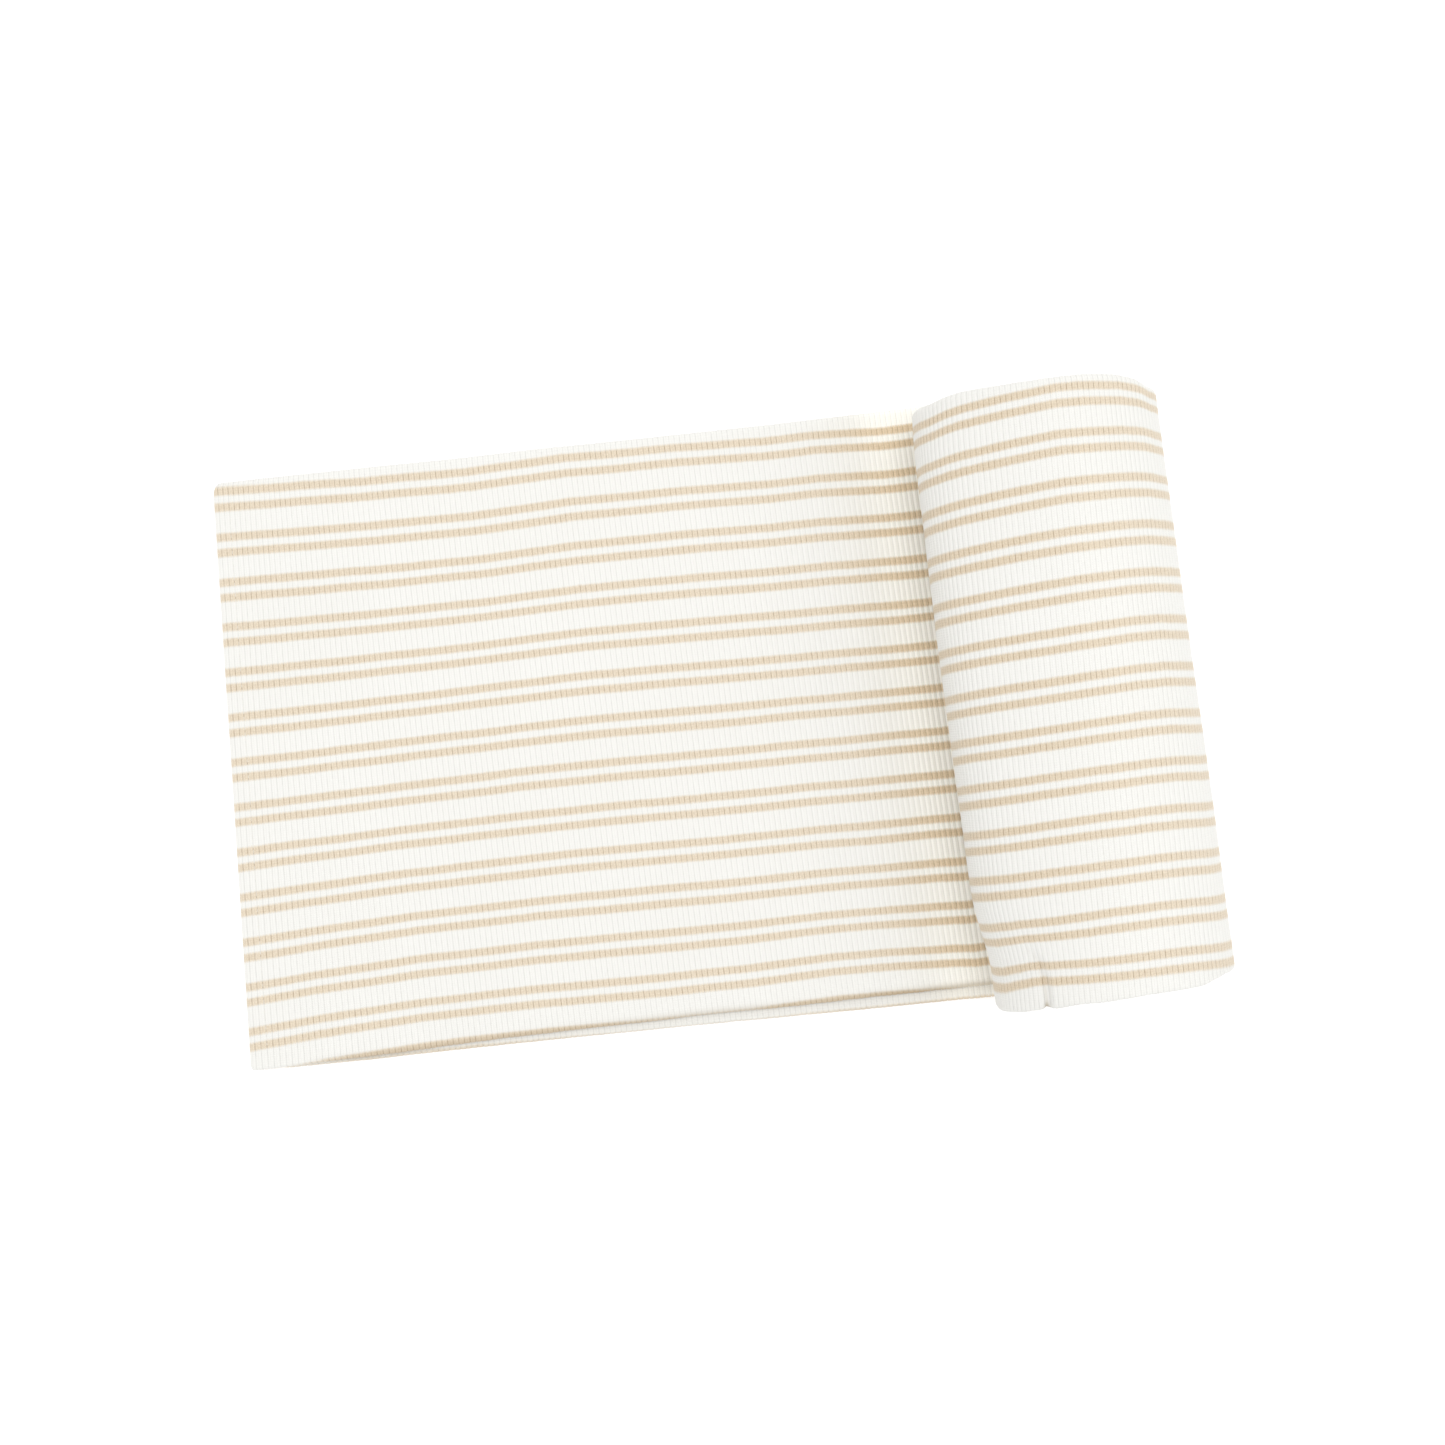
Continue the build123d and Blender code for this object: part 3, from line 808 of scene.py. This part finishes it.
def tube_mesh(name, paths, radius, sides=6):
    """Thin tubes along runs of points, with closed ends."""
    points, faces = [], []
    for path in paths:
        path = np.asarray(path)
        along = np.gradient(path, axis=0)
        along /= np.linalg.norm(along, axis=1, keepdims=True)
        guide = np.where(np.abs(along[:, 2:3]) > 0.9, [[1.0, 0, 0]], [[0, 0, 1.0]])
        side = np.cross(along, guide)
        side /= np.linalg.norm(side, axis=1, keepdims=True)
        over = np.cross(side, along)
        first = len(points)
        for index in range(len(path)):
            for step in range(sides):
                a = 2 * math.pi * step / sides
                points.append(path[index] + radius * (math.cos(a) * side[index] + math.sin(a) * over[index]))
        for index in range(len(path) - 1):
            for step in range(sides):
                a = first + index * sides + step
                b = first + index * sides + (step + 1) % sides
                faces.append((a, b, b + sides, a + sides))
        faces.append(tuple(first + step for step in reversed(range(sides))))
        faces.append(tuple(len(points) - sides + step for step in range(sides)))
    mesh = bpy.data.meshes.new(name)
    mesh.from_pydata([tuple(p) for p in points], [], faces)
    mesh.shade_smooth()
    piece = new_piece(name, mesh)
    piece.data.materials.append(THREAD)
    return piece


def stitch_row(u, height, up, near, far):
    """A row of stitches across the strip, in the groove between two ribs."""
    paths = []
    pitch, length = 2.6 * MM, 1.9 * MM
    for index in range(int((far - near) / pitch)):
        y = near + (index + np.linspace(0, 1, 6) * length / pitch) * pitch
        dip = np.array([-0.30, 0.02, 0.10, 0.10, 0.02, -0.30]) * MM
        x, y, z = place(np.full(6, u), y, np.full(6, height) + up * dip)
        paths.append(np.stack([x, y, z], axis=-1))
    return paths


def overlock(first_u, last_u, height):
    """Thread that winds round the free edge of a flap, 2.2 mm to a turn and seven points to each."""
    turns = (last_u - first_u) / (2.2 * MM)
    count = max(8, int(turns * 7))
    u = np.linspace(first_u, last_u, count)
    angle = np.linspace(0, 2 * math.pi * turns, count)
    far, _, _ = edges(u)
    y = far - HALF - FLAP_SHORT - 0.1 * MM + 0.75 * MM * np.cos(angle)
    h = height + 0.62 * MM * np.sin(angle)
    return np.stack(place(u, y, h), axis=-1)


# Hem stitches, three ribs from each end of the cloth. plies holds each ply's height and which way it faces
THREAD_RADIUS = 0.11 * MM
OVERLOCK_RADIUS = 0.12 * MM
hem_near, hem_far = NEAR_Y + 12 * MM, FAR_Y - 12 * MM
surface = HALF_PLY - GROOVE + 0.06 * MM
plies = [(-1.5 * PITCH_H, -1), (-0.5 * PITCH_H, 1), (0.5 * PITCH_H, -1), (1.5 * PITCH_H, 1)]
tail_stitches, inner_stitches = [], []
for height, up in plies:
    seam = height + up * surface
    tail_stitches += stitch_row(rib_at(3), seam, up, hem_near, hem_far)
    inner_stitches += stitch_row(rib_at(RIBS - 3), seam, up, hem_near - 3 * MM, hem_far - 3 * MM)
threads = {}
for name, stitches, node in (
    ("thread_tail_hem", tail_stitches, "tail_end_hem_thread"),
    ("thread_inner_hem", inner_stitches, "inner_end_hem_thread"),
):
    threads[name] = tube_mesh(name, stitches, THREAD_RADIUS)
    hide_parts(node)
stretches = {
    "tail_end": (2 * MM, ends[0]),
    "tail_middle": (ends[0], ends[1]),
    "tail_root": (ends[1], ends[2]),
    "roll": (ends[2], CLOTH - 2 * MM),
}
for stretch, (first_u, last_u) in stretches.items():
    paths = [overlock(first_u, last_u, side * PITCH_H / 2) for side in (-1, 1)]
    name = f"thread_side_hem_{stretch}"
    nodes = [f"{stretch}_side_hem_thread"] + (["base_side_hem_thread"] if stretch == "roll" else [])
    threads[name] = tube_mesh(name, paths, OVERLOCK_RADIUS, sides=4)
    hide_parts(*nodes)
bend(threads["thread_side_hem_tail_end"])
bend(threads["thread_side_hem_tail_middle"])
bend(threads["thread_side_hem_tail_root"])
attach(threads["thread_side_hem_roll"], "roll")
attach(threads["thread_inner_hem"], "roll")
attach(threads["thread_tail_hem"], "tail_end")


def make_label():
    """A blank satin label between the two upper plies."""
    low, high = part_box("care_label")
    columns, rows = 24, 14
    points, faces = [], []
    for z in (high.z + 0.02 * MM, high.z + 0.09 * MM):
        for j in range(rows + 1):
            for i in range(columns + 1):
                x = low.x + (high.x - low.x) * i / columns
                y = low.y + (high.y - low.y) * j / rows
                points.append((x, y, z + 0.012 * MM * math.sin(i * 0.9) * math.sin(j * 0.7)))
    size = (columns + 1) * (rows + 1)
    for j in range(rows):
        for i in range(columns):
            a = j * (columns + 1) + i
            faces.append((a, a + columns + 1, a + columns + 2, a + 1))
            faces.append((a + size, a + size + 1, a + size + columns + 2, a + size + columns + 1))
    rim = list(range(columns))
    rim += [j * (columns + 1) + columns for j in range(rows)]
    rim += [rows * (columns + 1) + i for i in range(columns, 0, -1)]
    rim += [j * (columns + 1) for j in range(rows, 0, -1)]
    for a, b in zip(rim, rim[1:] + rim[:1]):
        faces.append((a, b, b + size, a + size))
    mesh = bpy.data.meshes.new("care_label_blank")
    mesh.from_pydata(points, [], faces)
    mesh.shade_smooth()
    piece = new_piece("care_label_blank", mesh)
    piece.data.materials.append(LABEL)
    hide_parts("care_label")
    bend(piece)
    return piece


label = make_label()

# Floor, light and camera
FLOOR_HALF = 6
FLOOR_Z = -0.4 * MM
floor_corners = [(x * FLOOR_HALF, y * FLOOR_HALF, FLOOR_Z) for x, y in ((-1, -1), (1, -1), (1, 1), (-1, 1))]
floor_mesh = bpy.data.meshes.new("floor")
floor_mesh.from_pydata(floor_corners, [], [(0, 1, 2, 3)])
floor = new_piece("floor", floor_mesh)
floor.data.materials.append(floor_material())

world = bpy.data.worlds.new("studio")
world.use_nodes = True
world.node_tree.nodes["Background"].inputs["Color"].default_value = (1.0, 1.0, 1.0, 1)
world.node_tree.nodes["Background"].inputs["Strength"].default_value = 1.04
bpy.context.scene.world = world


def area_light(name, place_at, size, power, aim):
    """A square lamp of this size that looks at aim."""
    data = bpy.data.lights.new(name, "AREA")
    data.shape = "SQUARE"
    data.size = size
    data.energy = power
    lamp = bpy.data.objects.new(name, data)
    lamp.location = place_at
    direction = Vector(aim) - Vector(place_at)
    lamp.rotation_euler = direction.to_track_quat("-Z", "Y").to_euler()
    bpy.context.scene.collection.objects.link(lamp)


area_light("key", (0.50, 0.30, 1.65), 1.0, 8.5, (0.05, 0, 0))
area_light("fill", (-0.60, 0.20, 1.3), 1.0, 2.8, (0.05, 0, 0))

camera_data = bpy.data.cameras.new("camera")
camera_data.sensor_width = 36
camera_data.lens = 44.3
camera_data.dof.use_dof = False
camera = bpy.data.objects.new("camera", camera_data)
camera.location = (0.0111, 0.0023, 0.870)
camera.rotation_euler = (0, 0, math.radians(-6.35))
bpy.context.scene.collection.objects.link(camera)
bpy.context.scene.camera = camera
bpy.context.scene.view_settings.view_transform = "Standard"
